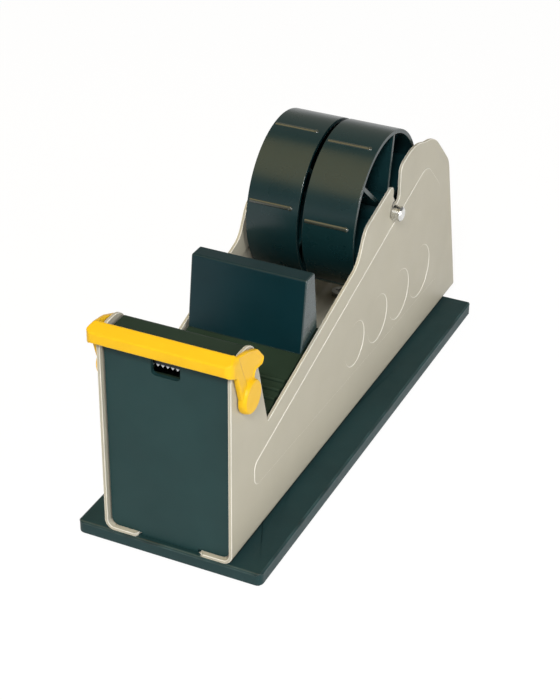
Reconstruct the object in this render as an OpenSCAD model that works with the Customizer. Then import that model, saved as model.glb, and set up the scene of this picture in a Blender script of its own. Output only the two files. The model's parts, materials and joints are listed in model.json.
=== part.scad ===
// Tape dispenser for two wide rolls: a painted sheet frame on a heavy base plate.
// Millimetres. X runs across, Y from front to back, Z up from the table.
// Heights of the pieces are measured from the underside of the frame.

/* [Base] */
// Width of the base plate
base_w = 87; // [78:1:110]
// Length of the base plate
base_l = 251; // [240:1:270]
// Thickness of the base plate
base_t = 6; // [5:0.5:10]
// Radius of the plate's corners in plan
base_corner_r = 3; // [2:0.5:10]
// Chamfer along the plate's upper edges
base_edge = 0.8; // [0.3:0.1:1.5]
// How far the plate's front edge lies ahead of the frame
base_lead = 0.5; // [0:0.5:6]
// Diameter of a rubber foot
foot_d = 16; // [10:1:18]
// Height of a rubber foot
foot_h = 2; // [1:0.5:4]
// Distance of a foot's centre from the plate's edges
foot_inset = 11; // [10:0.5:14]

/* [Frame] */
// Outer width over the two walls
frame_w = 60; // [56:1:72]
// Length of the frame along its floor
frame_l = 261; // [250:1:275]
// Thickness of the sheet
sheet_t = 1.5; // [1:0.1:2]
// Inner radius of the bends between floor and walls
bend_r = 3; // [2:0.5:4]
// Width of the notch in the floor's front edge
lip_gap = 29.4; // [22:0.2:31]
// Depth of that notch
lip_depth = 4.6; // [3:0.1:6]
// Radius of the corners at that notch's mouth
lip_end_r = 2; // [1:0.1:3]
// Height of the front ears
ear_h = 98; // [94:0.5:104]
// Width of an ear at its top
ear_w = 20; // [18:0.5:24]
// Radius of an ear's top corners
ear_r = 9.4; // [4:0.1:9.5]
// Distance of the V notch behind the front
notch_y = 33.7; // [31:0.1:37]
// Height of the V notch's root
notch_h = 51.6; // [48:0.2:56]
// Rise of the wall's upper edge behind the notch, in degrees
slope_deg = 16.5; // [15:0.5:18]
// Rear edge's lean at the top, measured along the frame
rear_lean = 20.8; // [14:0.2:26]
// Height at which the rear edge turns into the rear slope
rear_h = 82.6; // [76:0.2:86]
// Radius of the lower rear corner
rear_r = 2.5; // [2:0.5:8]

/* [Axle seat] */
// Distance of the axle behind the front
axle_y = 166; // [160:0.5:172]
// Height of the axle
axle_h = 87.5; // [84:0.5:92]
// Lean of the slot towards the back, in degrees
slot_lean = 14; // [10:0.5:18]
// Room between the axle's neck and the slot, all round
slot_gap = 0.3; // [0.2:0.05:0.5]
// Height of the seat's rear lip over the axle
seat_lip = 2.4; // [1.6:0.1:3]
// Length of the finger in front of the slot
finger_l = 39.7; // [36:0.1:44]
// Run of the steep edge that carries the finger
finger_run = 8.1; // [5:0.1:10]
// Height of the finger's tip over the axle
finger_over = 14.4; // [13:0.1:18]
// Rise of the finger's top edge, in degrees
finger_deg = 15; // [10:0.5:18]
// Front crest of the hump, behind and over the axle
crest_at = [25.5, 23.9]; // [16:0.1:30]
// Dip of the hump, behind and over the axle
dip_at = [38, 19.5]; // [15:0.1:46]
// Rear crest of the hump, behind and over the axle
hump_at = [51.6, 16.8]; // [15:0.1:56]

/* [Pressed panel] */
// Depth of the raised panel and its dimples
press_depth = 0.8; // [0.4:0.1:1]
// Height of the raised panel's lower edge at its tip
press_low = 26.2; // [24:0.2:30]
// Distance of the raised panel's tip behind the front
press_tip = 20.8; // [17:0.2:26]
// Distance of the raised panel below the wall's sloping edge
press_margin = 9.6; // [8:0.2:12]
// Least distance of the raised panel below the axle's heads
press_clear = 1; // [0.5:0.1:2]
// Distance of the raised panel from the wall's rear edges
press_rear = 14; // [11:0.5:18]
// Fall of the raised panel's lower edge towards the back, in degrees
press_fall = 1.4; // [0:0.2:3.6]
// Number of dimples
dimple_n = 4; // [2:1:4]
// Distance of the first dimple behind the front
dimple_y = 125; // [121:0.5:130]
// Spacing of the dimples
dimple_pitch = 26.8; // [25.5:0.1:28]
// Height of the first dimple's centre
dimple_h = 39.3; // [37:0.1:41]
// Fall of the centres from one dimple to the next
dimple_fall = 0.65; // [0:0.05:1]
// Radius of the first dimple
dimple_r = 10.8; // [9:0.1:11.4]
// Growth of the radius from one dimple to the next
dimple_step = 0.8; // [0.4:0.1:1]

/* [Front panel] */
// Distance of the panel behind the walls' front edges
panel_back = 2.2; // [1.6:0.1:4]
// Thickness of the panel
panel_t = 2; // [1.6:0.1:3]
// Room between the panel and the walls
panel_gap = 0.8; // [0.2:0.05:1.2]
// Width of the window
window_w = 13.1; // [10:0.1:20]
// Height of the window below the panel's upper edge
window_h = 7.5; // [6:0.1:12]
// Radius of the window's lower corners
window_r = 2; // [1:0.1:4]
// Distance of the panel's tongue from the ends of the floor's lips
tongue_gap = 1.5; // [1.4:0.1:3]

/* [Nose and deck] */
// Height of the ears over the nose's flat top
nose_below = 2.2; // [1:0.1:4]
// Radius of the nose's crest
crest_r = 3.5; // [2:0.1:5]
// Distance of the nose's back from the ears' rear edges
nose_inset = 1; // [0.5:0.1:2]
// Depth of the deck below the walls' sloping edges
deck_drop = 1.4; // [1.2:0.1:5]
// Distance of the deck's rear wall behind the front
deck_l = 90; // [86:0.5:96]
// Wall of the deck moulding
deck_t = 2.5; // [2:0.1:3]
// Room between the deck and each wall
deck_gap = 1.3; // [1.1:0.1:2]
// Distance of the first cross rib behind the front
rib_y = 46.4; // [44:0.2:48]
// Spacing of the cross ribs
rib_pitch = 5; // [4:0.2:6]
// Number of cross ribs
rib_n = 3; // [2:1:4]
// Radius of a cross rib
rib_r = 1.1; // [0.6:0.1:1.5]

/* [Tape stop] */
// Distance of the stop's foot from the deck's rear wall
stop_back = 1.4; // [0.6:0.1:4]
// Length of the stop at its foot
stop_foot = 16.6; // [15:0.2:17]
// Length of the stop at its top
stop_top = 8.3; // [7:0.1:11]
// Run of the stop's front face
stop_run = 4.5; // [3:0.1:6]
// Height of the stop's top
stop_h = 95.5; // [88:0.5:100]
// Wall of the stop
stop_t = 2.2; // [1.8:0.1:2.6]
// Radius of the stop's upper edges
stop_r = 1.2; // [0.6:0.1:2]

/* [Blade] */
// Thickness of the blade
blade_t = 0.8; // [0.5:0.1:1]
// How far the teeth stand over the nose
blade_over = 2.7; // [1.5:0.1:3.5]
// Height of the blade from tooth to tooth
blade_h = 13.2; // [11:0.1:15]
// How far the front panel covers the blade
blade_lap = 4.2; // [2:0.1:6]
// Pitch of the teeth
tooth_pitch = 2.2; // [1.6:0.1:3]
// Height of a tooth
tooth_h = 1.5; // [1:0.1:2]
// Least distance of the blade's ends from the sides of the nose
blade_end = 1; // [0.5:0.1:3]

/* [Guard] */
// How far the bar stands ahead of the frame
guard_reach = 5; // [4:0.1:7]
// Wall of the bar
guard_t = 2.5; // [2:0.1:3]
// Height of the bar's top over the ears
bar_over = 4; // [3:0.1:5]
// Height of the crease along the bar over the ears
crease_over = 1; // [0:0.1:2]
// Distance of the bar's lower edge below the ears' tops
bar_below = 4; // [3:0.1:7]
// Radius of the bar's upper ends, seen from the front
bar_end_r = 4.5; // [3:0.1:8]
// Radius of the bar's front corners, seen from above
bar_corner_r = 3.5; // [2:0.1:6]
// Thickness of an arm
arm_t = 2.2; // [2.1:0.1:3]
// Room between an arm and the wall
arm_gap = 0.4; // [0.3:0.05:0.6]
// Thickness of the wing behind an arm
wing_t = 1.6; // [1.2:0.1:2]
// Height and width of the rim round a wing
wing_rim = 0.6; // [0.4:0.1:1]
// Distance of the pivot behind the front
pivot_y = 12.3; // [11:0.1:14]
// Height of the ears over the pivot
pivot_below = 21; // [19:0.2:23]
// Radius of the boss over the pivot
boss_r = 7.2; // [6.8:0.1:8]
// How far the boss stands out of the arm
boss_over = 1.4; // [1.3:0.1:3]
// Thickness of the boss over the end of its pin
boss_cap = 0.6; // [0.5:0.1:1]
// Diameter of a pivot pin
pin_d = 5; // [4:0.1:5.4]
// Diameter of a pin's inner head
pin_head_d = 9; // [7:0.2:11]
// Thickness of a pin's inner head
pin_head_t = 0.7; // [0.5:0.1:0.8]

/* [Guard springs] */
// Diameter of the wire
wire_d = 0.5; // [0.4:0.05:0.5]
// Mean radius of the coil
coil_r = 4.2; // [4:0.05:4.4]
// Number of turns
coil_turns = 2; // [1.5:0.25:2]
// Pitch of the turns
coil_pitch = 0.93; // [0.91:0.01:0.95]
// Room at each end of the coil
coil_end = 0.25; // [0.2:0.05:0.4]
// Length of the free leg
leg_l = 4; // [3:0.1:4]

/* [Axle and hubs] */
// Diameter of the axle
axle_d = 7; // [6:0.1:8]
// Diameter of the necks that lie in the slots
neck_d = 4; // [3.4:0.1:4.4]
// How far an axle head stands out of the wall
head_l = 5; // [3:0.1:7]
// Room beside each wall along the axle
neck_play = 0.3; // [0.2:0.05:0.5]
// Radius of a hub without its ribs
hub_r = 38; // [34:0.1:38]
// Wall of a hub's rim
hub_rim = 2; // [1.8:0.1:3]
// Distance of a hub's rim from the ends of its boss
rim_inset = 0.8; // [0.3:0.1:2]
// Radius of a hub's boss
hub_boss_r = 9; // [7:0.1:12]
// Thickness of a hub's web and spokes
hub_web = 2; // [1.6:0.1:3]
// Number of grip ribs and of spokes on a hub
grip_n = 6; // [4:1:8]
// Height of a grip rib over the rim
grip_h = 0.6; // [0.4:0.1:0.8]
// Radius of a grip rib's round back
grip_r = 1.1; // [0.9:0.1:1.3]
// Radius of the ball at a grip rib's end
ball_r = 1.3; // [1.2:0.1:1.5]
// Distance of a grip rib's start from the rim's left edge
grip_start = 1; // [0.5:0.1:3]
// Distance of the ball from the rim's right edge
grip_stop = 4; // [3:0.1:8]
// Turn of the right hub's first grip rib from the top to the front, in degrees
grip_right = 20; // [0:1:59]
// Turn of the left hub's first grip rib from the top to the front, in degrees
grip_left = 14; // [0:1:59]
// Thickness of a hub washer
washer_t = 0.6; // [0.4:0.05:0.8]
// Radius of a hub washer
washer_r = 7; // [6:0.1:8.5]

/* [Fasteners and fits] */
// Diameter of the frame screws
frame_screw_d = 4; // [3:0.5:5]
// Distance of the frame screws from the middle
frame_screw_x = 20; // [14:0.5:20.5]
// Distance of the front frame screws behind the front
frame_screw_y = 48; // [40:1:56]
// Distance of the rear frame screws from the plate's rear edge
frame_screw_rear = 25.5; // [18:0.5:34]
// Diameter of the screws in the mouldings
small_screw_d = 3; // [2.5:0.1:3.5]
// Distance of the deck screws and panel screws from the middle
boss_x = 19; // [18:0.2:20]
// Height of the bosses over the deck screws
deck_boss_h = 16; // [14:0.5:20]
// Depth of the holes for the deck screws
deck_screw_l = 12; // [9:0.5:13]
// Length of the bosses behind the blade screws
blade_boss_l = 3; // [2.5:0.1:4]
// Depth of the holes for the stop screws
stop_screw_l = 10; // [8:0.5:12]
// Height of the lower panel screws
panel_screw_low = 32; // [30:0.5:40]
// Height of the upper panel screws
panel_screw_high = 68; // [60:0.5:72]
// Radial room of turning fits
run_fit = 0.05; // [0.02:0.01:0.1]
// Room between pieces that move past each other
play = 0.15; // [0.1:0.05:0.2]

/* [Hidden] */

$fn = 64;
// Largest step of a rounded corner, in degrees
arc_step = 6;

// Colours
wall_grey = "#bfb8a6";
dark_green = "#33484a";
hub_black = "#23292a";
guard_yellow = "#f0c11e";
bright_steel = "#c4c8ca";
screw_zinc = "#a9adb0";
foot_black = "#1c1c1c";
washer_white = "#d8d6cc";

// Widths across the frame
inner_w = frame_w - 2 * sheet_t;
deck_w = inner_w - 2 * deck_gap;
panel_w = inner_w - 2 * panel_gap;

// Nose, blade and pivot, all hung from the ears
nose_h = ear_h - nose_below;
pivot_h = ear_h - pivot_below;
seat_y = panel_back + panel_t;
blade_top = nose_h + blade_over;
blade_low = blade_top - blade_h;
panel_h = blade_low + blade_lap;
panel_low = sheet_t + 0.2;
stop_y = deck_l - stop_back - stop_foot;
tooth_n = floor((deck_w - 2 * blade_end) / tooth_pitch);
blade_l = tooth_n * tooth_pitch;

// Helpers for outlines made of [along, up, radius] corners

function unit(v) = v / norm(v);
function cross2(a, b) = a.x * b.y - a.y * b.x;
function xy(c) = [c.x, c.y];
function turned(v, t) = [v.x * cos(t) - v.y * sin(t), v.x * sin(t) + v.y * cos(t)];
function before(c, i) = xy(c[(i + len(c) - 1) % len(c)]);
function after(c, i) = xy(c[(i + 1) % len(c)]);

// Crossing of the line through p along d with the line through q along e
function meet(p, d, q, e) = p + d * cross2(q - p, e) / cross2(d, e);

// The arc of radius r that rounds the corner p between a and b
function arc_at(a, p, b, r) =
    let (
        u = unit(a - p),
        w = unit(b - p),
        half = acos(u * w) / 2,
        centre = p + unit(u + w) * r / sin(half),
        start = p + u * r / tan(half) - centre,
        turn = (180 - 2 * half) * sign(cross2(p - a, b - p)),
        n = max(2, ceil(abs(turn) / arc_step))
    )
    r > 0 ? [for (i = [0 : n]) centre + turned(start, turn * i / n)] : [p];

function rounded(c) = [for (i = [0 : len(c) - 1]) each arc_at(before(c, i), xy(c[i]), after(c, i), c[i].z)];

// The corners moved inwards by d, for an outline that runs anticlockwise
function inset(c, d) = [
    for (i = [0 : len(c) - 1])
        let (
            p = xy(c[i]),
            e = unit(p - before(c, i)),
            f = unit(after(c, i) - p),
            n = [-e.y, e.x],
            m = [-f.y, f.x],
            q = p + d * (n + m) / (1 + n * m)
        )
        [q.x, q.y, c[i].z > 0 ? max(0.2, c[i].z - d * sign(cross2(e, f))) : 0]
];

// Side outline of the frame

function slope_at(y) = notch_h + (y - notch_y) * tan(slope_deg);
function deck_at(y) = slope_at(y) - deck_drop;

slot_w = neck_d + 2 * slot_gap;
slot_way = [sin(slot_lean), cos(slot_lean)];
slot_side = [cos(slot_lean), -sin(slot_lean)];
axle_at = [axle_y, axle_h];
slot_front = axle_at - slot_side * slot_w / 2;
slot_rear = axle_at + slot_side * slot_w / 2;
slot_root = slot_way * slot_w / 2;
slot_root_r = slot_w / 2 - 0.02;
// The slot's rear side stands clear of the neck's way up to the hump's crest
slot_back_y = axle_y + crest_at.y * tan(slot_lean) + slot_w / (2 * cos(slot_lean));
finger_way = [cos(finger_deg), sin(finger_deg)];
finger_tip = meet(slot_front, slot_way, axle_at + [0, finger_over], finger_way);
shoulder = [axle_y - finger_l, slope_at(axle_y - finger_l)];
knuckle = meet(finger_tip, finger_way, shoulder + [finger_run, 0], [0, 1]);
// Front lobe, dip and rear lobe of the hump behind the slot
lobe_crest = axle_at + crest_at;
lobe_dip = axle_at + dip_at;
hump_end = axle_at + hump_at;
lobe_mouth = meet([slot_back_y, 0], [0, 1], lobe_crest, finger_way);
seat_rear = slot_rear + slot_way * seat_lip;
seat_ledge = meet([slot_back_y, 0], [0, 1], seat_rear, finger_way);
rear_top = [frame_l - rear_lean, rear_h];

wall_corners = [
    [0, 0, 0],
    [frame_l, 0, rear_r],
    [rear_top.x, rear_top.y, 16],
    [hump_end.x, hump_end.y, 30],
    [lobe_dip.x, lobe_dip.y, 6],
    [lobe_crest.x, lobe_crest.y, 30],
    [lobe_mouth.x, lobe_mouth.y, 5],
    [seat_ledge.x, seat_ledge.y, 2.5],
    [seat_rear.x, seat_rear.y, 1],
    [slot_rear.x - slot_root.x, slot_rear.y - slot_root.y, slot_root_r],
    [slot_front.x - slot_root.x, slot_front.y - slot_root.y, slot_root_r],
    [finger_tip.x, finger_tip.y, 3],
    [knuckle.x, knuckle.y, 9],
    [shoulder.x, shoulder.y, 12],
    [notch_y, notch_h, 1.2],
    [ear_w, ear_h, ear_r],
    [0, ear_h, ear_r]
];
wall_outline = rounded(wall_corners);
frame_back = max([for (p = wall_outline) p.x]);

// Side outline of the raised panel, parallel to the wall's slope and rear edges
rear_way = unit(rear_top - [frame_l, 0]);
rear_slope_way = unit(hump_end - rear_top);
press_rear_at = [frame_l, 0] + press_rear * [-rear_way.y, rear_way.x];
press_slope_at = rear_top + press_rear * [-rear_slope_way.y, rear_slope_way.x];
press_low_at = [press_tip, press_low];
press_low_way = [cos(press_fall), -sin(press_fall)];
press_drop = max(press_margin / cos(slope_deg), slope_at(axle_y) - axle_h + axle_d / 2 + press_clear);
press_top_at = [notch_y, notch_h - press_drop];
press_top_way = [cos(slope_deg), sin(slope_deg)];
press_a = meet(press_rear_at, rear_way, press_low_at, press_low_way);
press_b = meet(press_rear_at, rear_way, press_slope_at, rear_slope_way);
press_c = meet(press_top_at, press_top_way, press_slope_at, rear_slope_way);
press_d = meet(press_top_at, press_top_way, press_low_at, [0, 1]);
press_tip_r = min(4.5, 0.4 * (press_d.y - press_low));
press_corners = [
    [press_low_at.x, press_low_at.y, press_tip_r],
    [press_a.x, press_a.y, 8],
    [press_b.x, press_b.y, 10],
    [press_c.x, press_c.y, 12],
    [press_d.x, press_d.y, press_tip_r]
];

// The whole object stands centred over the origin, with its feet on Z = 0
overall_front = min(-guard_reach, -base_lead);
overall_back = max(frame_back, base_l - base_lead);
module place() {
    translate([0, -(overall_front + overall_back) / 2, base_t + foot_h]) children();
}

// Extrudes an outline drawn in [Y, Z] along X, centred
module across(w) {
    rotate([90, 0, 90]) linear_extrude(w, center = true) children();
}

// Extrudes an outline drawn in [Y, Z] to the right from x
module rightwards(x, w) {
    translate([x + w / 2, 0, 0]) across(w) children();
}

// Extrudes an outline drawn in [X, Z] from Y = 0 backwards
module backwards(l) {
    mirror([0, 1, 0]) rotate([90, 0, 0]) linear_extrude(l) children();
}

// Copies a piece to both sides of the middle plane
module both_sides() {
    children();
    mirror([1, 0, 0]) children();
}

module rounded_square(w, l, r) {
    for (x = [r, w - r], y = [r, l - r]) translate([x, y]) circle(r);
    translate([r, 0]) square([w - 2 * r, l]);
    translate([0, r]) square([w, l - 2 * r]);
}

// A screw standing on Z = 0 with its head upwards and its shank downwards
module screw(d, l, head_d, head_t) {
    difference() {
        union() {
            cylinder(d = head_d, h = head_t);
            translate([0, 0, -l]) cylinder(d = d, h = l + 0.1);
        }
        for (turn = [0, 90])
            rotate(turn) translate([0, 0, head_t]) cube([0.55 * head_d, 0.9, 1.6], center = true);
    }
}

// Places shared by a piece and its fasteners

// Floor of the frame, where it is screwed to the base plate
module at_frame_screws() {
    for (x = [-frame_screw_x, frame_screw_x], y = [frame_screw_y, base_l - base_lead - frame_screw_rear])
        translate([x, y, 0]) children();
}

deck_boss_r = small_screw_d / 2 + 2.5;
deck_boss_front = seat_y + deck_t + deck_boss_r - 1;
deck_boss_rear = deck_l - deck_t - deck_boss_r + 1;
module at_deck_screws() {
    for (x = [-boss_x, boss_x], y = [deck_boss_front, deck_boss_rear])
        translate([x, y, 0]) children();
}

// Front wall of the deck, facing backwards
module at_panel_screws() {
    for (x = [-boss_x, boss_x], z = [panel_screw_low, panel_screw_high])
        translate([x, seat_y, z]) rotate([-90, 0, 0]) children();
}

// Front face of the blade, facing forwards
blade_screw_x = deck_w / 2 - 7;
blade_screw_h = (panel_h + nose_h) / 2;
blade_screw_head = 2 * (blade_screw_h - panel_h) - 0.6;
blade_boss_r = min(deck_boss_r, nose_h - blade_screw_h - 0.4);
module at_blade_screws() {
    for (x = [-blade_screw_x, blade_screw_x])
        translate([x, seat_y, blade_screw_h]) rotate([90, 0, 0]) children();
}

// Deck's upper face under the stop, upright on the slope
stop_screw_y = stop_y + stop_foot / 2 + 1.5;
module at_stop_screws() {
    for (x = [-boss_x, boss_x])
        translate([x, stop_screw_y, deck_at(stop_screw_y)]) rotate([slope_deg, 0, 0]) children();
}

// Moves what is drawn up from Z = 0 to the guard's axis, where it runs from x to the right
module at_pivot(x) {
    translate([x, pivot_y, pivot_h]) rotate([0, 90, 0]) children();
}

// Pieces

small_shank = small_screw_d - 2 * run_fit;
small_head_d = 2 * small_screw_d;
small_head_t = 0.65 * small_screw_d;
frame_head_d = 2 * frame_screw_d;
frame_head_t = 0.6 * frame_screw_d;
frame_screw_l = sheet_t + base_t - 0.8;

module base_plate() {
    color(dark_green) place() translate([0, -base_lead, -base_t]) difference() {
        intersection() {
            translate([-base_w / 2, 0, 0]) linear_extrude(base_t)
                rounded_square(base_w, base_l, base_corner_r);
            backwards(base_l) polygon(rounded(edge_section(base_w)));
            translate([0, base_l / 2, 0]) across(base_w) polygon(rounded(edge_section(base_l)));
        }
        translate([0, base_lead, -1]) {
            at_frame_screws() cylinder(d = frame_screw_d, h = base_t + 2);
            at_deck_screws() cylinder(d = small_head_d + 2, h = base_t + 2);
        }
    }
}

// Upright section of a plate of width w with chamfered upper edges
function edge_section(w) = [
    [-w / 2, 0, 0],
    [w / 2, 0, 0],
    [w / 2, base_t - base_edge, 0],
    [w / 2 - base_edge, base_t, 0],
    [base_edge - w / 2, base_t, 0],
    [-w / 2, base_t - base_edge, 0]
];

module rubber_feet() {
    foot_edge = foot_h / 3;
    color(foot_black) place()
        for (x = [foot_inset - base_w / 2, base_w / 2 - foot_inset], y = [foot_inset, base_l - foot_inset])
            translate([x, y - base_lead, -base_t - foot_h]) {
                translate([0, 0, foot_edge]) cylinder(d = foot_d, h = foot_h - foot_edge);
                cylinder(d1 = foot_d - 2 * foot_edge, d2 = foot_d, h = foot_edge);
            }
}

// Section of the frame's channel: a floor, two bends and two walls of any height
module channel(w, h, r) {
    translate([r - w / 2, 0]) square([w - 2 * r, h]);
    translate([-w / 2, r]) square([w, h - r]);
    for (side = [-1, 1]) translate([side * (w / 2 - r), r]) circle(r);
}

// Dimples of the raised panel, each grown by extra
module dimples(extra) {
    for (i = [0 : dimple_n - 1])
        translate([dimple_y + i * dimple_pitch, dimple_h - i * dimple_fall])
            circle(dimple_r + i * dimple_step + extra);
}

// Plan of the notch between the lips of the floor's front edge
lip_corners = [
    [-lip_gap / 2 - 2 * lip_end_r, -lip_depth, 0],
    [lip_gap / 2 + 2 * lip_end_r, -lip_depth, 0],
    [lip_gap / 2 + 2 * lip_end_r, -0.01, 0],
    [lip_gap / 2, -0.01, lip_end_r],
    [lip_gap / 2, lip_depth, lip_depth / 2],
    [-lip_gap / 2, lip_depth, lip_depth / 2],
    [-lip_gap / 2, -0.01, lip_end_r],
    [-lip_gap / 2 - 2 * lip_end_r, -0.01, 0]
];

module frame() {
    wall_h = lobe_crest.y + 5;
    press_wall = sheet_t / 2;
    color(wall_grey) place() difference() {
        union() {
            intersection() {
                backwards(frame_l) difference() {
                    channel(frame_w, wall_h, bend_r + sheet_t);
                    translate([0, sheet_t]) channel(inner_w, wall_h, bend_r);
                }
                across(frame_w) polygon(wall_outline);
            }
            both_sides() rightwards(inner_w / 2 + press_depth, sheet_t) difference() {
                polygon(rounded(press_corners));
                dimples(0);
            }
        }
        both_sides() translate([inner_w / 2, 0, 0]) across(2 * press_depth) difference() {
            polygon(rounded(inset(press_corners, press_wall)));
            dimples(press_wall);
        }
        translate([0, 0, -1]) linear_extrude(sheet_t + 2) polygon(rounded(lip_corners));
        at_pivot(-frame_w) cylinder(d = pin_d + 2 * run_fit, h = 2 * frame_w);
        both_sides() translate([inner_w / 2, 0, 0]) at_coil_start()
            cylinder(d = wire_d + 0.6, h = 3 * sheet_t, center = true);
        translate([0, 0, -1]) {
            at_frame_screws() cylinder(d = frame_screw_d + 0.2, h = sheet_t + 2);
            at_deck_screws() cylinder(d = small_screw_d + 0.4, h = sheet_t + 2);
        }
    }
}

module frame_screws() {
    color(screw_zinc) place() translate([0, 0, sheet_t]) at_frame_screws()
        screw(frame_screw_d - 2 * run_fit, frame_screw_l, frame_head_d, frame_head_t);
}

// Side outline of the nose and deck, standing on the given height
nose_way = [notch_y - ear_w, notch_h - ear_h];
nose_back_top = meet([ear_w - nose_inset, ear_h], nose_way, [0, nose_h], [1, 0]);
nose_back_foot = meet(nose_back_top, nose_way, [0, deck_at(0)], [cos(slope_deg), sin(slope_deg)]);
blade_seat_h = blade_low - 0.3;
function deck_corners(foot) = [
    [seat_y, foot, 0],
    [deck_l, foot, 0],
    [deck_l, deck_at(deck_l), 2],
    [nose_back_foot.x, nose_back_foot.y, 2],
    [nose_back_top.x, nose_back_top.y, crest_r],
    [seat_y + blade_t, nose_h, 0.6],
    [seat_y + blade_t, blade_seat_h, 0],
    [seat_y, blade_seat_h, 0]
];

module tape_deck() {
    deep = 20;
    color(dark_green) place() difference() {
        union() {
            difference() {
                across(deck_w) polygon(rounded(deck_corners(sheet_t)));
                across(deck_w - 2 * deck_t) polygon(rounded(inset(deck_corners(-deep), deck_t)));
            }
            for (i = [0 : rib_n - 1])
                translate([0, rib_y + i * rib_pitch, deck_at(rib_y + i * rib_pitch)])
                    rotate([0, 90, 0]) cylinder(r = rib_r, h = deck_w, center = true);
            translate([0, 0, sheet_t]) at_deck_screws() cylinder(r = deck_boss_r, h = deck_boss_h);
            at_blade_screws() translate([0, 0, -blade_t - deck_t - blade_boss_l])
                cylinder(r = blade_boss_r, h = blade_boss_l + 0.2);
        }
        // Room for the bends of the frame
        both_sides() translate([deck_w / 2 - bend_r, 0, sheet_t - 1])
            cube([bend_r + 1, deck_l + 1, bend_r + 1]);
        translate([0, 0, sheet_t - 1]) at_deck_screws() cylinder(d = small_screw_d, h = deck_screw_l + 1);
        at_panel_screws() translate([0, 0, -1]) cylinder(r = panel_boss_r + play, h = deck_t + 2);
        at_blade_screws() translate([0, 0, -blade_t - deck_t - blade_boss_l - 1])
            cylinder(d = small_screw_d, h = deck_t + blade_boss_l + 2);
        at_stop_screws() cylinder(d = small_screw_d + 0.4, h = 3 * deck_t, center = true);
        // Opening behind the window of the front panel
        translate([-window_w / 2 - 1, 0, panel_h - window_h - 1])
            cube([window_w + 2, seat_y + deck_t + 1, window_h + 1]);
    }
}

module deck_screws() {
    color(screw_zinc) place() at_deck_screws() rotate([180, 0, 0])
        screw(small_shank, deck_screw_l - 0.6, small_head_d, small_head_t);
}

panel_boss_r = small_screw_d / 2 + 1.8;
panel_pilot = deck_t + panel_t / 2;

module front_panel() {
    corner = bend_r + 0.6;
    color(dark_green) place() difference() {
        union() {
            translate([0, panel_back, 0]) backwards(panel_t) difference() {
                translate([0, panel_low]) channel(panel_w, panel_h - panel_low, corner);
                translate([-window_w / 2, panel_h - window_h])
                    rounded_square(window_w, 2 * window_h, window_r);
            }
            // Tongue that stands in the notch between the floor's lips
            translate([tongue_gap - lip_gap / 2, panel_back, play])
                cube([lip_gap - 2 * tongue_gap, panel_t, panel_low + 1]);
            at_panel_screws() cylinder(r = panel_boss_r, h = deck_t - play);
        }
        at_panel_screws() translate([0, 0, -panel_t / 2]) cylinder(d = small_screw_d, h = panel_pilot);
    }
}

module panel_screws() {
    flange_d = 2 * panel_boss_r + 3;
    color(screw_zinc) place() at_panel_screws() translate([0, 0, deck_t])
        screw(small_shank, panel_pilot - 0.4, flange_d, small_head_t);
}

// Outline of the blade in [X, Z], toothed along both long edges
blade_outline = [
    for (i = [0 : 2 * tooth_n])
        [i * tooth_pitch / 2 - blade_l / 2, blade_low + (i % 2 == 0 ? tooth_h : 0)],
    for (i = [2 * tooth_n : -1 : 0])
        [i * tooth_pitch / 2 - blade_l / 2, blade_top - (i % 2 == 0 ? tooth_h : 0)]
];

module blade() {
    color(bright_steel) place() difference() {
        translate([0, seat_y, 0]) backwards(blade_t) polygon(blade_outline);
        at_blade_screws() cylinder(d = small_screw_d + 0.3, h = 3 * blade_t, center = true);
    }
}

module blade_screws() {
    color(screw_zinc) place() at_blade_screws()
        screw(small_shank, blade_t + deck_t + blade_boss_l - 1,
            min(small_head_d, blade_screw_head), small_head_t / 1.5);
}

// Side outline of the stop, with its foot on the deck lowered by sink
function stop_corners(sink) = [
    [stop_y, deck_at(stop_y) - sink, 0],
    [stop_y + stop_foot, deck_at(stop_y + stop_foot) - sink, 0],
    [stop_y + stop_run + stop_top, stop_h, stop_r],
    [stop_y + stop_run, stop_h, stop_r]
];

module tape_stop() {
    deep = 12;
    post_r = small_screw_d / 2 + 2;
    color(dark_green) place() difference() {
        across(deck_w) polygon(rounded(stop_corners(0)));
        difference() {
            across(deck_w - 2 * stop_t) polygon(rounded(inset(stop_corners(deep), stop_t)));
            at_stop_screws() translate([0, 0, -1]) cylinder(r = post_r, h = stop_h);
        }
        at_stop_screws() translate([0, 0, -1]) cylinder(d = small_screw_d, h = stop_screw_l - deck_t + 1);
    }
}

module stop_screws() {
    color(screw_zinc) place() at_stop_screws() translate([0, 0, -deck_t]) rotate([180, 0, 0])
        screw(small_shank, stop_screw_l - 0.6, small_head_d, small_head_t);
}

// Heights of the guard's bar and places across the guard
bar_low = ear_h - bar_below;
bar_crease = ear_h + crease_over;
bar_top = ear_h + bar_over;
bar_back = 1.5;
arm_in = frame_w / 2 + arm_gap;
arm_out = arm_in + arm_t;
wing_out = arm_in + wing_t;
boss_out = arm_out + boss_over;

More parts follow.
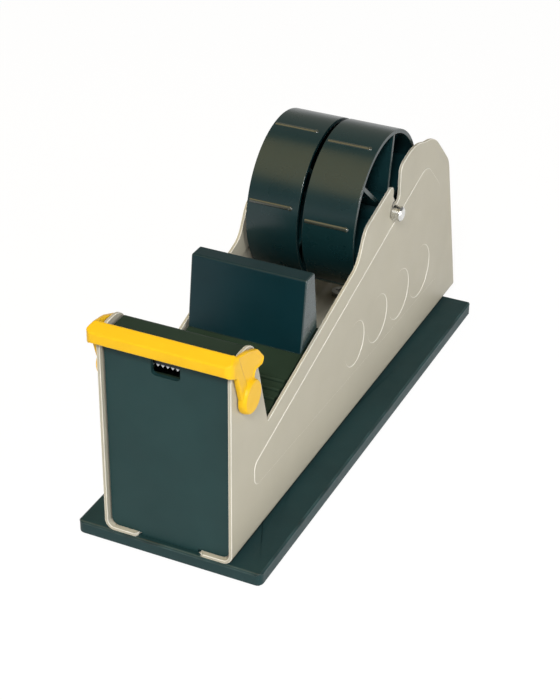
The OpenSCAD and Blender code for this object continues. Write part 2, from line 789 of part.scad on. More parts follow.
// Side outlines of the bar, of the strap that carries it and of the wing behind the strap
bar_corners = [
    [-guard_reach, bar_low, 0.8],
    [guard_t - guard_reach, bar_low, 0.8],
    [guard_t - guard_reach, bar_crease - 0.4 * guard_t, 0.8],
    [bar_back, bar_top - 1.1 * guard_t, 0.4],
    [bar_back, bar_top, 0.8],
    [-guard_reach, bar_crease, 1]
];
strap_corners = [
    [-guard_reach, bar_low, 0.8],
    [bar_back - 0.7, bar_low - 2.4, 3],
    [pivot_y - 4.6, pivot_h - boss_r + 1, 2.5],
    [pivot_y + 1, pivot_h - boss_r, 0],
    [pivot_y + 1, pivot_h, 0],
    [pivot_y - 3.2, pivot_h + boss_r, 2],
    [bar_back + 4.4, bar_low - 2.8, 3],
    [bar_back, bar_top, 0.8],
    [-guard_reach, bar_crease, 1]
];
wing_corners = [
    [bar_back, bar_low, 0],
    [pivot_y - 3, pivot_h, 0],
    [pivot_y + 3, pivot_h + 4, 0],
    [pivot_y + 4.6, pivot_h + 9.6, 1.5],
    [pivot_y + 11.1, pivot_h + 8.9, 1.6],
    [pivot_y + 12.7, pivot_h + 11.6, 2],
    [pivot_y + 6.6, ear_h - 2.8, 5],
    [pivot_y - 1.8, ear_h + 0.6, 8],
    [bar_back, bar_top - 1.4, 0]
];

// Front and plan outlines that round the bar's ends
guard_front = [
    [-arm_out, pivot_h - 2 * boss_r, 0],
    [arm_out, pivot_h - 2 * boss_r, 0],
    [arm_out, bar_top + 0.2, bar_end_r],
    [-arm_out, bar_top + 0.2, bar_end_r]
];
guard_plan = [
    [-arm_out, -guard_reach, bar_corner_r],
    [arm_out, -guard_reach, bar_corner_r],
    [arm_out, pivot_y + 20, 0],
    [-arm_out, pivot_y + 20, 0]
];

// Cavity of the boss that holds the spring, and the groove of its free leg
leg_room = 0.2;
spring_room_r = coil_r + wire_d / 2 + 3 * leg_room;
spring_room = coil_turns * coil_pitch + wire_d + 2 * coil_end;

module blade_guard() {
    guard_l = guard_reach + pivot_y + 20;
    guard_h = bar_top - pivot_h + 2 * boss_r;
    color(guard_yellow) place() difference() {
        union() {
            intersection() {
                union() {
                    across(2 * arm_out) polygon(rounded(bar_corners));
                    both_sides() {
                        rightwards(arm_in, arm_t) polygon(rounded(strap_corners));
                        rightwards(arm_in, wing_t) polygon(rounded(wing_corners));
                        rightwards(wing_out - 0.1, wing_rim + 0.1) difference() {
                            polygon(rounded(wing_corners));
                            polygon(rounded(inset(wing_corners, wing_rim)));
                        }
                    }
                }
                translate([0, -guard_reach - 1, 0]) backwards(guard_l) polygon(rounded(guard_front));
                translate([0, 0, pivot_h - 2 * boss_r])
                    linear_extrude(guard_h) polygon(rounded(guard_plan));
            }
            both_sides() {
                at_pivot(arm_in) cylinder(r = boss_r + 0.3, h = arm_t);
                at_pivot(arm_out - 0.1) cylinder(r = boss_r, h = boss_over - 0.4);
                at_pivot(boss_out - 0.5) cylinder(r1 = boss_r, r2 = boss_r - 0.5, h = 0.5);
            }
        }
        both_sides() {
            at_pivot(arm_in - 0.1) cylinder(r = spring_room_r, h = spring_room + 0.1);
            at_pivot(arm_in) cylinder(d = pin_d, h = boss_out - arm_in - boss_cap);
            // Groove for the spring's free leg
            translate([arm_in - 0.1, pivot_y, pivot_h]) rotate([coil_end_turn, 0, 0])
                translate([0, -leg_l - leg_room, coil_r - wire_d / 2 - leg_room])
                    cube([spring_room + 0.1, leg_l + leg_room, wire_d + 2 * leg_room]);
        }
    }
}

module guard_pins() {
    pin_in = inner_w / 2 - play;
    color(bright_steel) place() both_sides() {
        at_pivot(pin_in - pin_head_t) cylinder(d = pin_head_d, h = pin_head_t);
        at_pivot(pin_in - 0.1) cylinder(d = pin_d, h = boss_out - boss_cap - 0.2 - pin_in);
    }
}

// Torsion spring: one leg in the wall, the coil about the pin, the free leg along its tangent
coil_x = arm_in + wire_d / 2 + coil_end;
coil_end_turn = 360 * coil_turns;
rings_per_turn = 8;
ring_n = round(rings_per_turn * coil_turns);
wire_sides = 6;

// Direction from the pivot to the coil after turn t, with 0 at the top, turning forwards
function coil_out(t) = [0, -sin(t), cos(t)];
function coil_along(t) = [0, -cos(t), -sin(t)];
coil_path = [
    [[inner_w / 2 + 0.2 - coil_x, 0, coil_r], [1, 0, 0], coil_out(0)],
    for (i = [0 : ring_n])
        let (t = coil_end_turn * i / ring_n)
        [coil_r * coil_out(t) + [coil_pitch * t / 360, 0, 0],
            coil_along(t) + (i == 0 ? [1, 0, 0] : [0, 0, 0]), coil_out(t)],
    [coil_r * coil_out(coil_end_turn) + leg_l * coil_along(coil_end_turn) + [coil_pitch * coil_turns, 0, 0],
        coil_along(coil_end_turn), coil_out(coil_end_turn)]
];

// Least gap between neighbouring turns of the wire
coil_gap = min([for (i = [1 : ring_n + 1 - rings_per_turn])
    norm(coil_path[i][0] - coil_path[i + rings_per_turn][0]) - wire_d]);
echo(spring_least_gap = coil_gap);

// Place in the wall where a spring's fixed leg ends
module at_coil_start() {
    at_pivot(0) translate([-coil_r, 0, 0]) children();
}

module spring() {
    points = [
        for (p = coil_path, k = [0 : wire_sides - 1])
            let (a = 360 * k / wire_sides, side = cross(unit(p[1]), p[2]))
            p[0] + wire_d / 2 * (cos(a) * p[2] + sin(a) * side)
    ];
    last = (len(coil_path) - 1) * wire_sides;
    faces = [
        for (i = [0 : len(coil_path) - 2], k = [0 : wire_sides - 1])
            let (a = i * wire_sides + k, b = i * wire_sides + (k + 1) % wire_sides)
            each [[a, b, b + wire_sides], [a, b + wire_sides, a + wire_sides]],
        for (k = [1 : wire_sides - 2])
            each [[0, k + 1, k], [last, last + k, last + k + 1]]
    ];
    translate([coil_x, pivot_y, pivot_h]) polyhedron(points, faces);
}

module guard_spring_right() {
    color(bright_steel) place() spring();
}

module guard_spring_left() {
    color(bright_steel) place() mirror([1, 0, 0]) spring();
}

// Places along the axle, from the middle outwards
shoulder_x = inner_w / 2 - neck_play;
end_washer_x = shoulder_x - play - washer_t;
hub_boss_in = washer_t / 2 + play;
hub_boss_out = end_washer_x - play;
hub_boss_l = hub_boss_out - hub_boss_in;
hub_mid = (hub_boss_in + hub_boss_out) / 2;
rim_l = hub_boss_l - 2 * rim_inset;

// Moves what is drawn about the X axis to the axle
module at_axle(x) {
    translate([x, axle_y, axle_h]) children();
}

module rod(d, l) {
    rotate([0, 90, 0]) cylinder(d = d, h = l, center = true);
}

module axle() {
    neck_out = frame_w / 2 + neck_play;
    tip = 0.8;
    head_end = frame_w / 2 + head_l;
    color(bright_steel) place() at_axle(0) {
        rod(axle_d, 2 * shoulder_x);
        rod(neck_d, 2 * neck_out + 0.2);
        both_sides() translate([neck_out, 0, 0]) rotate([0, 90, 0]) {
            cylinder(d = axle_d, h = head_end - tip - neck_out);
            translate([0, 0, head_end - tip - neck_out])
                cylinder(d1 = axle_d, d2 = axle_d - 2 * tip, h = tip);
        }
    }
}

module hub_washers() {
    end_mid = end_washer_x + washer_t / 2;
    color(washer_white) place() for (x = [-end_mid, 0, end_mid])
        at_axle(x) difference() {
            rod(2 * washer_r, washer_t);
            rod(axle_d + 2 * run_fit, 2 * washer_t);
        }
}

// Half section of a hub in [radius, X], from the hub's middle: boss, web and rim
hub_section = [
    [axle_d / 2 + run_fit, -hub_boss_l / 2],
    [hub_boss_r, -hub_boss_l / 2],
    [hub_boss_r, -hub_web / 2],
    [hub_r - hub_rim, -hub_web / 2],
    [hub_r - hub_rim, -rim_l / 2],
    [hub_r, -rim_l / 2],
    [hub_r, rim_l / 2],
    [hub_r - hub_rim, rim_l / 2],
    [hub_r - hub_rim, hub_web / 2],
    [hub_boss_r, hub_web / 2],
    [hub_boss_r, hub_boss_l / 2],
    [axle_d / 2 + run_fit, hub_boss_l / 2]
];

// A rib along the rim, half sunk in it, that ends in a ball
module grip_rib() {
    translate([grip_start - rim_l / 2, 0, hub_r + grip_h - grip_r]) rotate([0, 90, 0]) {
        cylinder(r = grip_r, h = rim_l - grip_start - grip_stop, $fn = 16);
        translate([0, 0, rim_l - grip_start - grip_stop]) sphere(ball_r, $fn = 16);
    }
}

// A hub with its middle at x; first is the turn of its first grip rib
module hub(x, first) {
    turn = 360 / grip_n;
    spoke_in = hub_boss_r - 0.3;
    color(hub_black) place() at_axle(x) rotate([first, 0, 0]) {
        rotate([0, 90, 0]) rotate_extrude($fn = 96) polygon(hub_section);
        for (i = [0 : grip_n - 1])
            rotate([i * turn, 0, 0]) {
                grip_rib();
                rotate([turn / 2, 0, 0]) translate([-rim_l / 2, -hub_web / 2, spoke_in])
                    cube([rim_l, hub_web, hub_r - hub_rim / 2 - spoke_in]);
            }
    }
}

module hub_right() {
    hub(hub_mid, grip_right);
}

module hub_left() {
    hub(-hub_mid, grip_left);
}

base_plate();
rubber_feet();
frame();
frame_screws();
tape_deck();
deck_screws();
front_panel();
panel_screws();
blade();
blade_screws();
tape_stop();
stop_screws();
blade_guard();
guard_pins();
guard_spring_left();
guard_spring_right();
axle();
hub_washers();
hub_left();
hub_right();
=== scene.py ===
import json
import math
import bmesh
import bpy
from mathutils import Matrix, Vector

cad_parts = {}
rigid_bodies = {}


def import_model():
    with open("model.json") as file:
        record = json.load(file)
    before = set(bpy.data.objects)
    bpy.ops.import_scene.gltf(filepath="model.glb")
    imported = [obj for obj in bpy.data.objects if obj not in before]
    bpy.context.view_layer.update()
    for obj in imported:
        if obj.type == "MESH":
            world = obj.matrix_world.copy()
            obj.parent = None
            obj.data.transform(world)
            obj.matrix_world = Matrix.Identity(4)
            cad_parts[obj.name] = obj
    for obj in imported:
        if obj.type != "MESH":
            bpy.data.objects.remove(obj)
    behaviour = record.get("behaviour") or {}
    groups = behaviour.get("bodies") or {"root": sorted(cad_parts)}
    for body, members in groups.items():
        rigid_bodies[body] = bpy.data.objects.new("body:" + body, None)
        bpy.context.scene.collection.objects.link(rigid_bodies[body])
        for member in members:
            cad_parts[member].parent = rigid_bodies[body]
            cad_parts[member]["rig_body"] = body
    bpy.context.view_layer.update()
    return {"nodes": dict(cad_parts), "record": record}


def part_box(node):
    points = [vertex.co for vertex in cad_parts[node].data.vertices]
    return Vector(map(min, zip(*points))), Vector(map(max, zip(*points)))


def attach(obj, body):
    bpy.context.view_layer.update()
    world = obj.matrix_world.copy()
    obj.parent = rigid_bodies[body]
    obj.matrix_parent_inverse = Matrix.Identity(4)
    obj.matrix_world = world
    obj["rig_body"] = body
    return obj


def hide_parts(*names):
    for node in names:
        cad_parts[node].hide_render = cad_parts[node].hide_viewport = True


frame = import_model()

mm = 0.001
closeBy = 0.01 * mm         # points nearer than this to a face count as on it
weldReach = 0.002 * mm      # loose triangles of a CAD node are merged within this
flatAngle = 0.6             # degrees between facets that still make one flat
noiseSpan = (0.3, 0.7)      # most of what a noise gives lies in here
print("frame loaded with", len(frame["nodes"]), "nodes")


# small helpers shared by the pieces

def activate(obj):
    bpy.ops.object.select_all(action="DESELECT")
    obj.select_set(True)
    bpy.context.view_layer.objects.active = obj


def editAll(obj):
    activate(obj)
    bpy.ops.object.mode_set(mode="EDIT")
    bpy.ops.mesh.select_all(action="SELECT")


def pickEdges(obj, wanted):
    bpy.ops.mesh.select_mode(type="EDGE")
    bpy.ops.mesh.select_all(action="DESELECT")
    mesh = bmesh.from_edit_mesh(obj.data)
    for edge in mesh.edges:
        edge.select_set(wanted(edge))
    bmesh.update_edit_mesh(obj.data)


def pickFaces(obj, wanted):
    bpy.ops.mesh.select_mode(type="FACE")
    bpy.ops.mesh.select_all(action="DESELECT")
    mesh = bmesh.from_edit_mesh(obj.data)
    for face in mesh.faces:
        face.select_set(wanted(face.calc_center_median()))
    bmesh.update_edit_mesh(obj.data)


def pickPoints(obj, wanted):
    bpy.ops.mesh.select_mode(type="VERT")
    bpy.ops.mesh.select_all(action="DESELECT")
    mesh = bmesh.from_edit_mesh(obj.data)
    for point in mesh.verts:
        point.select_set(wanted(point.co))
    bmesh.update_edit_mesh(obj.data)


# draws what stands out past the two side faces back towards them
def flattenSides(obj, face, share):
    for side in (-1, 1):
        pickPoints(obj, lambda place: side * place.x > face + closeBy)
        bpy.ops.transform.resize(value=(share, 1, 1), center_override=(side * face, 0, 0))


def isSharp(edge, degrees):
    return edge.is_manifold and edge.is_convex and edge.calc_face_angle() > math.radians(degrees)


def isBend(edge, low, high):
    return edge.is_manifold and math.radians(low) < edge.calc_face_angle() < math.radians(high)


def finishPiece(obj, node, material, smoothAngle=35):
    bpy.ops.object.mode_set(mode="OBJECT")
    bpy.ops.object.shade_smooth_by_angle(angle=math.radians(smoothAngle))
    if material:
        obj.data.materials.clear()
        obj.data.materials.append(material)
    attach(obj, frame["nodes"][node]["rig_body"])
    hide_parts(node)
    return obj


def applyModifier(obj, kind, settings):
    activate(obj)
    modifier = obj.modifiers.new(kind.lower(), kind)
    for setting, value in settings.items():
        setattr(modifier, setting, value)
    bpy.ops.object.modifier_apply(modifier=modifier.name)


def copyOfNode(node, name):
    piece = bpy.data.objects.new(name, frame["nodes"][node].data.copy())
    bpy.context.collection.objects.link(piece)
    activate(piece)
    bpy.ops.mesh.customdata_custom_splitnormals_clear()
    editAll(piece)
    bpy.ops.mesh.remove_doubles(threshold=weldReach)
    return piece


def addFinish(piece, material):
    piece.data.materials.append(material)
    piece.active_material_index = len(piece.data.materials) - 1
    bpy.ops.object.material_slot_assign()


# a CAD node's own form with its edges broken, as presses and paint leave them
def softenedNode(node, name, material, look):
    piece = copyOfNode(node, name)
    if "joinFlats" in look:               # facets of one flat or curve become one face
        pickFaces(piece, look["joinFlats"])
        bpy.ops.mesh.dissolve_limited(angle_limit=math.radians(flatAngle))
    if "relief" in look:                  # paint fills the pressing up, so that it stands out less
        flattenSides(piece, look["sideFace"], look["relief"])
    if "crease" in look:                  # pressed bends, softer than the cut edges
        pickEdges(piece, lambda edge: isBend(edge, look["bendFrom"], look["sharpFrom"]))
        bpy.ops.mesh.bevel(offset=look["crease"], segments=3, clamp_overlap=True)
    pickEdges(piece, lambda edge: isSharp(edge, look["sharpFrom"]))
    bpy.ops.mesh.bevel(offset=look["edge"], segments=look["segments"], clamp_overlap=False)
    piece.data.materials.clear()
    piece.data.materials.append(material)
    if "paintedEdgeLight" in look:                    # the broken edges alone take a lighter finish: painted highlight, on the base plate partly edge wear as well
        addFinish(piece, look["paintedEdgeLight"])
    if "paintedSheen" in look:                  # and what stands out past a radius takes a painted warm sheen
        pickFaces(piece, lambda place: (place - look["centre"]).yz.length > look["reach"])
        addFinish(piece, look["paintedSheen"])
    finishPiece(piece, node, None)
    applyModifier(piece, "WEIGHTED_NORMAL", {"keep_sharp": True, "weight": 70})
    return piece


# a CAD node's own form as one skin with small fillets inside and out, as a mould leaves it
def mouldedNode(node, name, material, look):
    piece = copyOfNode(node, name)
    bpy.ops.object.mode_set(mode="OBJECT")
    applyModifier(piece, "REMESH", {"mode": "VOXEL", "voxel_size": look["grain"]})
    applyModifier(piece, "SMOOTH", {"factor": 0.5, "iterations": look["rounds"]})
    return finishPiece(piece, node, material, look["smoothAngle"])


# materials

def startMaterial(name):
    material = bpy.data.materials.new(name)
    material.use_nodes = True
    tree = material.node_tree
    return material, tree, tree.nodes["Principled BSDF"]


def objectPoints(tree, stretch=(1, 1, 1)):
    points = tree.nodes.new("ShaderNodeTexCoord")
    mapping = tree.nodes.new("ShaderNodeMapping")
    mapping.inputs["Scale"].default_value = stretch
    tree.links.new(points.outputs["Object"], mapping.inputs["Vector"])
    return mapping.outputs["Vector"]


def noise(tree, scale, detail=3, stretch=(1, 1, 1)):
    node = tree.nodes.new("ShaderNodeTexNoise")
    node.inputs["Scale"].default_value = scale
    node.inputs["Detail"].default_value = detail
    tree.links.new(objectPoints(tree, stretch), node.inputs["Vector"])
    return node.outputs["Fac"]


def toneBetween(tree, factor, dark, light, span=noiseSpan):
    ramp = tree.nodes.new("ShaderNodeValToRGB")
    ramp.color_ramp.elements[0].position = span[0]
    ramp.color_ramp.elements[0].color = (*dark, 1)
    ramp.color_ramp.elements[1].position = span[1]
    ramp.color_ramp.elements[1].color = (*light, 1)
    tree.links.new(factor, ramp.inputs["Fac"])
    return ramp.outputs["Color"]


def spread(tree, factor, low, high):
    node = tree.nodes.new("ShaderNodeMapRange")
    node.inputs["From Min"].default_value = noiseSpan[0]
    node.inputs["From Max"].default_value = noiseSpan[1]
    node.inputs["To Min"].default_value = low
    node.inputs["To Max"].default_value = high
    tree.links.new(factor, node.inputs["Value"])
    return node.outputs["Result"]


def bump(tree, shader, height, distance, strength=1.0):
    node = tree.nodes.new("ShaderNodeBump")
    node.inputs["Strength"].default_value = strength
    node.inputs["Distance"].default_value = distance
    tree.links.new(height, node.inputs["Height"])
    if shader.inputs["Normal"].is_linked:
        tree.links.new(shader.inputs["Normal"].links[0].from_socket, node.inputs["Normal"])
    tree.links.new(node.outputs["Normal"], shader.inputs["Normal"])


def shade(tone, share):
    return tuple(channel * share for channel in tone)


# paint, moulded plastic and rubber: a tone that drifts a little, uneven gloss and a fine skin
def skinMaterial(name, look):
    material, tree, shader = startMaterial(name)
    drift = noise(tree, look["driftScale"], 4)
    dark = shade(look["tone"], 1 - look["drift"])
    light = shade(look["tone"], 1 + look["drift"])
    tree.links.new(toneBetween(tree, drift, dark, light), shader.inputs["Base Color"])
    gloss = noise(tree, look["driftScale"] * 2.3, 5)     # the gloss changes over shorter ways than the tone
    low, high = look["roughness"]
    tree.links.new(spread(tree, gloss, low, high), shader.inputs["Roughness"])
    shader.inputs["Specular IOR Level"].default_value = look["specular"]
    bump(tree, shader, noise(tree, look["skinScale"], 2), look["skinDepth"])
    return material


# turned, ground or drawn metal: fine lines along one direction
def metalMaterial(name, look):
    material, tree, shader = startMaterial(name)
    lines = noise(tree, look["lineScale"], 3, look["stretch"])
    dark = shade(look["tone"], 0.86)                     # the floor of each fine line
    tree.links.new(toneBetween(tree, lines, dark, look["tone"]), shader.inputs["Base Color"])
    low, high = look["roughness"]
    tree.links.new(spread(tree, lines, low, high), shader.inputs["Roughness"])
    shader.inputs["Metallic"].default_value = 1.0
    bump(tree, shader, lines, look["lineDepth"], 0.6)
    return material


wallPaint = skinMaterial("wallPaint", {
    "tone": (0.430, 0.408, 0.332), "drift": 0.03, "driftScale": 28,
    "roughness": (0.40, 0.48), "specular": 0.25, "skinScale": 1400, "skinDepth": 0.02 * mm})
# painted highlight: the walls' broken edges are a lighter tone than the wall paint, for light catching them
wallEdgeHighlight = skinMaterial("wallEdgeHighlight", {
    "tone": (0.70, 0.68, 0.62), "drift": 0.05, "driftScale": 60,
    "roughness": (0.34, 0.44), "specular": 0.4, "skinScale": 1400, "skinDepth": 0.01 * mm})
platePaint = skinMaterial("platePaint", {
    "tone": (0.011, 0.036, 0.039), "drift": 0.10, "driftScale": 40,
    "roughness": (0.40, 0.50), "specular": 0.2, "skinScale": 1600, "skinDepth": 0.03 * mm})
# the plate's broken edges lighter and patchy: partly edge wear, partly painted highlight
plateEdgeWearAndHighlight = skinMaterial("plateEdgeWearAndHighlight", {
    "tone": (0.022, 0.048, 0.050), "drift": 0.5, "driftScale": 90,
    "roughness": (0.34, 0.44), "specular": 0.35, "skinScale": 1600, "skinDepth": 0.02 * mm})
panelGreen = skinMaterial("panelGreen", {
    "tone": (0.012, 0.041, 0.043), "drift": 0.07, "driftScale": 45,
    "roughness": (0.42, 0.52), "specular": 0.2, "skinScale": 2200, "skinDepth": 0.03 * mm})
# the deck is the dark moulding in an olive tone: painted warm light from overhead on its top
deckPaintedWarmLight = skinMaterial("deckPaintedWarmLight", {
    "tone": (0.018, 0.034, 0.022), "drift": 0.10, "driftScale": 45,
    "roughness": (0.40, 0.50), "specular": 0.08, "skinScale": 2200, "skinDepth": 0.03 * mm})
mouldedGreen = skinMaterial("mouldedGreen", {
    "tone": (0.002, 0.021, 0.028), "drift": 0.10, "driftScale": 45,
    "roughness": (0.34, 0.42), "specular": 0.25, "skinScale": 2200, "skinDepth": 0.03 * mm})
# painted highlight: the tape stop's broken edges are lighter than its moulding
mouldedEdgeHighlight = skinMaterial("mouldedEdgeHighlight", {
    "tone": (0.022, 0.042, 0.044), "drift": 0.20, "driftScale": 80,
    "roughness": (0.22, 0.30), "specular": 0.5, "skinScale": 2200, "skinDepth": 0.01 * mm})
hubBlack = skinMaterial("hubBlack", {
    "tone": (0.004, 0.021, 0.024), "drift": 0.08, "driftScale": 35,
    "roughness": (0.26, 0.31), "specular": 0.45, "skinScale": 1800, "skinDepth": 0.004 * mm})
# painted warm sheen on the hub ribs: lighter and warmer than the hub, for overhead light on them
ribPaintedSheen = skinMaterial("ribPaintedSheen", {
    "tone": (0.034, 0.040, 0.031), "drift": 0.15, "driftScale": 80,
    "roughness": (0.13, 0.18), "specular": 0.75, "skinScale": 1800, "skinDepth": 0.004 * mm})
# painted highlight: the hubs' broken edges are lighter than the hub
hubEdgeHighlight = skinMaterial("hubEdgeHighlight", {
    "tone": (0.014, 0.028, 0.028), "drift": 0.20, "driftScale": 80,
    "roughness": (0.24, 0.30), "specular": 0.5, "skinScale": 1800, "skinDepth": 0.006 * mm})
guardYellow = skinMaterial("guardYellow", {
    "tone": (0.77, 0.455, 0.008), "drift": 0.04, "driftScale": 60,
    "roughness": (0.32, 0.42), "specular": 0.22, "skinScale": 1500, "skinDepth": 0.02 * mm})
washerNylon = skinMaterial("washerNylon", {
    "tone": (0.62, 0.60, 0.54), "drift": 0.04, "driftScale": 90,
    "roughness": (0.45, 0.55), "specular": 0.4, "skinScale": 2500, "skinDepth": 0.01 * mm})
footRubber = skinMaterial("footRubber", {
    "tone": (0.016, 0.016, 0.016), "drift": 0.12, "driftScale": 120,
    "roughness": (0.75, 0.9), "specular": 0.3, "skinScale": 2600, "skinDepth": 0.05 * mm})
axleSteel = metalMaterial("axleSteel", {
    "tone": (0.72, 0.72, 0.70), "roughness": (0.2, 0.32), "lineScale": 900,
    "stretch": (4, 0.6, 0.6), "lineDepth": 0.008 * mm})
bladeSteel = metalMaterial("bladeSteel", {
    "tone": (0.62, 0.63, 0.64), "roughness": (0.24, 0.36), "lineScale": 900,
    "stretch": (0.4, 1, 4), "lineDepth": 0.008 * mm})
springSteel = metalMaterial("springSteel", {
    "tone": (0.42, 0.42, 0.42), "roughness": (0.3, 0.42), "lineScale": 1500,
    "stretch": (1, 1, 1), "lineDepth": 0.006 * mm})
screwZinc = metalMaterial("screwZinc", {
    "tone": (0.56, 0.57, 0.57), "roughness": (0.28, 0.42), "lineScale": 700,
    "stretch": (1, 1, 1), "lineDepth": 0.01 * mm})


# painted shade darkens the blade's body, so that only the points of both rows of teeth stay bright
paintedBladeShade = {"points": 0.06, "fade": 0.04,      # shares of the blade's height
              "paintedShade": (0.03, 0.033, 0.035)}


def shadeBladeBody(material, low, high, look):
    tree = material.node_tree
    shader = tree.nodes["Principled BSDF"]
    points = tree.nodes.new("ShaderNodeTexCoord")
    split = tree.nodes.new("ShaderNodeSeparateXYZ")
    tree.links.new(points.outputs["Object"], split.inputs["Vector"])
    rise = tree.nodes.new("ShaderNodeMapRange")
    rise.inputs["From Min"].default_value = low
    rise.inputs["From Max"].default_value = high
    tree.links.new(split.outputs["Z"], rise.inputs["Value"])
    ramp = tree.nodes.new("ShaderNodeValToRGB")
    ramp.color_ramp.elements[0].position = look["points"]
    ramp.color_ramp.elements[1].position = 1 - look["points"]
    ramp.color_ramp.elements[0].color = (0, 0, 0, 1)
    ramp.color_ramp.elements[1].color = (0, 0, 0, 1)
    for place in (look["points"] + look["fade"], 1 - look["points"] - look["fade"]):
        ramp.color_ramp.elements.new(place).color = (1, 1, 1, 1)
    tree.links.new(rise.outputs["Result"], ramp.inputs["Fac"])
    mix = tree.nodes.new("ShaderNodeMixRGB")
    mix.inputs["Color2"].default_value = (*look["paintedShade"], 1)
    tree.links.new(ramp.outputs["Color"], mix.inputs["Fac"])
    tree.links.new(shader.inputs["Base Color"].links[0].from_socket, mix.inputs["Color1"])
    tree.links.new(mix.outputs["Color"], shader.inputs["Base Color"])


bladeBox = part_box("blade")
shadeBladeBody(bladeSteel, bladeBox[0][2], bladeBox[1][2], paintedBladeShade)

finishes = {
    "base_paint": platePaint, "frame_paint": wallPaint, "dark_moulding": mouldedGreen,
    "hub_plastic": hubBlack, "guard_plastic": guardYellow, "axle_steel": axleSteel,
    "blade_steel": bladeSteel, "spring_steel": springSteel, "screw_zinc": screwZinc,
    "washer_plastic": washerNylon, "foot_rubber": footRubber}
ownFinish = {"tape_deck": deckPaintedWarmLight, "front_panel": panelGreen}
for row in frame["record"]["subparts"]:
    node = frame["nodes"][row["node"]]
    node.data.materials.clear()
    node.data.materials.append(ownFinish.get(row["node"], finishes[row["material_slot"]]))
print("finishes set on", len(frame["nodes"]), "nodes")


# where facets are joined to flats before the edges are broken
def anywhere(place):
    return True


def inWalls(place):
    return abs(place.x) > 26 * mm and place.z > 14 * mm   # outside the bay and above the bends


places = {joint["name"]: joint.get("pos_m") for joint in frame["record"]["behaviour"]["joints"]}
hubCentre = Vector(places["left_hub_spin"])
hubLook = {
    "joinFlats": anywhere, "edge": 0.25 * mm, "segments": 2, "sharpFrom": 35, "paintedEdgeLight": hubEdgeHighlight,
    "paintedSheen": ribPaintedSheen, "centre": hubCentre, "reach": 38.12 * mm}      # ribs stand out past the reach

# edges broken on the pieces that show: how far, and from which angle between faces
softEdges = {
    "base_plate": {
        "name": "plate", "edge": 0.35 * mm, "segments": 2, "sharpFrom": 30, "paintedEdgeLight": plateEdgeWearAndHighlight},
    "frame": {
        "name": "sheetFrame", "joinFlats": inWalls, "edge": 0.3 * mm, "segments": 2, "sharpFrom": 62,
        "sideFace": 30 * mm, "relief": 0.35, "bendFrom": 12, "crease": 0.3 * mm, "paintedEdgeLight": wallEdgeHighlight},
    "tape_stop": {
        "name": "tapeStop", "joinFlats": anywhere, "edge": 0.6 * mm, "segments": 3, "sharpFrom": 35,
        "paintedEdgeLight": mouldedEdgeHighlight},
    "axle": {
        "name": "axleRod", "joinFlats": anywhere, "edge": 0.2 * mm, "segments": 2, "sharpFrom": 35},
    "hub_left": {"name": "leftHub", **hubLook},
    "hub_right": {"name": "rightHub", **hubLook}}
slots = {row["node"]: row["material_slot"] for row in frame["record"]["subparts"]}
for node, look in softEdges.items():
    softenedNode(node, look["name"], finishes[slots[node]], look)
print("edges broken on", len(softEdges), "pieces")

guardLook = {"grain": 0.32 * mm, "rounds": 6, "smoothAngle": 80}   # skin's voxels, rounds of smoothing
mouldedNode("blade_guard", "bladeGuard", guardYellow, guardLook)
print("guard moulded")


# camera where the photograph was taken from
cameraView = {
    "azimuth": 24.86, "elevation": 31.44, "roll": 0.7,   # degrees
    "distance": 0.82093, "target": (-0.00495, -0.00765, 0.03722),
    "focalPixels": 1773.8, "imageHeight": 700, "sensorHeight": 36.0, "nearest": 0.01}


def addCamera(view):
    data = bpy.data.cameras.new("camera")
    camera = bpy.data.objects.new("camera", data)
    bpy.context.collection.objects.link(camera)
    turn = Matrix.Rotation(math.radians(view["azimuth"]), 3, "Z")
    turn = turn @ Matrix.Rotation(math.radians(90 - view["elevation"]), 3, "X")
    turn = turn @ Matrix.Rotation(math.radians(view["roll"]), 3, "Z")
    camera.location = Vector(view["target"]) + turn @ Vector((0, 0, view["distance"]))
    camera.rotation_euler = turn.to_euler()
    data.sensor_fit = "VERTICAL"
    data.sensor_height = view["sensorHeight"]
    data.lens = view["focalPixels"] * view["sensorHeight"] / view["imageHeight"]
    data.clip_start = view["nearest"]
    bpy.context.scene.camera = camera


addCamera(cameraView)


# soft boxes round the object, all aimed at its middle
softBoxes = {
    "keyBox": {
        "azimuth": 20, "elevation": 41, "distance": 1.5, "size": 0.28, "power": 17, "tint": (1, 1, 1)},
    "sideBox": {
        "azimuth": 78, "elevation": 14, "distance": 1.6, "size": 0.9, "power": 12, "tint": (1, 0.98, 0.95)},
    "topBox": {
        "azimuth": -43, "elevation": 60, "distance": 1.4, "size": 1.2, "power": 7, "tint": (1, 0.77, 0.33)},
    "backCard": {
        "azimuth": 205, "elevation": 36, "distance": 1.5, "size": 1.3, "power": 1.2, "tint": (1, 0.95, 0.7)}}
aimPoint = Vector((0, 0, 0.05))


def addSoftBox(name, box):
    data = bpy.data.lights.new(name, "AREA")
    data.size = box["size"]
    data.energy = box["power"]
    data.color = box["tint"]
    lamp = bpy.data.objects.new(name, data)
    bpy.context.collection.objects.link(lamp)
    turn = Matrix.Rotation(math.radians(box["azimuth"]), 3, "Z")
    turn = turn @ Matrix.Rotation(math.radians(90 - box["elevation"]), 3, "X")
    lamp.location = aimPoint + turn @ Vector((0, 0, box["distance"]))
    lamp.rotation_euler = turn.to_euler()
    lamp.visible_camera = False


for boxName, box in softBoxes.items():
    addSoftBox(boxName, box)


# rays that show the backdrop: the camera's own, reflections and what glass lets through
def shownRays(tree):
    path = tree.nodes.new("ShaderNodeLightPath")
    total = path.outputs["Is Camera Ray"]
    for kind in ("Is Glossy Ray", "Is Transmission Ray"):
        both = tree.nodes.new("ShaderNodeMath")
        both.operation = "MAXIMUM"
        tree.links.new(total, both.inputs[0])
        tree.links.new(path.outputs[kind], both.inputs[1])
        total = both.outputs["Value"]
    return total


# a room that is white round the horizon and dim overhead
roomLook = {"ambient": 0.5, "horizon": (1, 1, 1), "overhead": (0.2, 0.2, 0.2), "fade": (0.02, 0.25)}


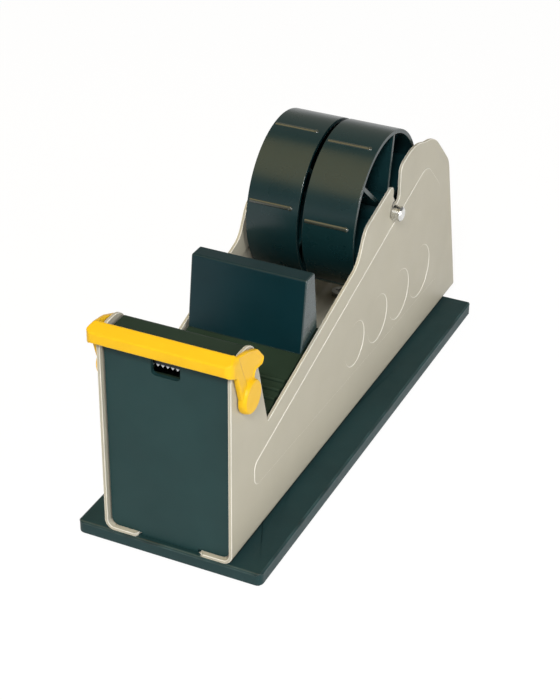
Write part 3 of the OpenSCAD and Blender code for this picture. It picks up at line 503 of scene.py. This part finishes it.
def addWorld(look):
    world = bpy.data.worlds.new("studio")
    bpy.context.scene.world = world
    world.use_nodes = True
    tree = world.node_tree
    background = tree.nodes["Background"]
    direction = tree.nodes.new("ShaderNodeTexCoord")
    split = tree.nodes.new("ShaderNodeSeparateXYZ")
    tree.links.new(direction.outputs["Generated"], split.inputs["Vector"])
    room = toneBetween(tree, split.outputs["Z"], look["horizon"], look["overhead"], look["fade"])
    tree.links.new(room, background.inputs["Color"])
    level = tree.nodes.new("ShaderNodeMapRange")
    level.inputs["To Min"].default_value = look["ambient"]
    level.inputs["To Max"].default_value = 1.0
    tree.links.new(shownRays(tree), level.inputs["Value"])
    tree.links.new(level.outputs["Result"], background.inputs["Strength"])


# a pale floor that shows as white and keeps a faint shadow
floorLook = {
    "span": 8.0, "tone": (0.75, 0.75, 0.75), "roughness": 0.9, "specular": 0.1,
    "white": 1.05, "glow": 0.9}      # strength of the white, and its share against the plain floor


def addFloor(look):
    bpy.ops.object.select_all(action="DESELECT")
    bpy.ops.mesh.primitive_plane_add(size=look["span"], location=(0, 0, 0))
    floor = bpy.context.active_object
    floor.name = "floor"
    material, tree, shader = startMaterial("paleFloor")
    shader.inputs["Base Color"].default_value = (*look["tone"], 1)
    shader.inputs["Roughness"].default_value = look["roughness"]
    shader.inputs["Specular IOR Level"].default_value = look["specular"]
    light = tree.nodes.new("ShaderNodeEmission")
    light.inputs["Strength"].default_value = look["white"]
    mix = tree.nodes.new("ShaderNodeMixShader")
    share = tree.nodes.new("ShaderNodeMath")
    share.operation = "MULTIPLY"
    share.inputs[1].default_value = look["glow"]
    tree.links.new(shownRays(tree), share.inputs[0])
    tree.links.new(share.outputs["Value"], mix.inputs["Fac"])
    tree.links.new(shader.outputs["BSDF"], mix.inputs[1])
    tree.links.new(light.outputs["Emission"], mix.inputs[2])
    tree.links.new(mix.outputs["Shader"], tree.nodes["Material Output"].inputs["Surface"])
    floor.data.materials.append(material)


addWorld(roomLook)
addFloor(floorLook)
bpy.context.scene.view_settings.view_transform = "Standard"
print("studio ready")
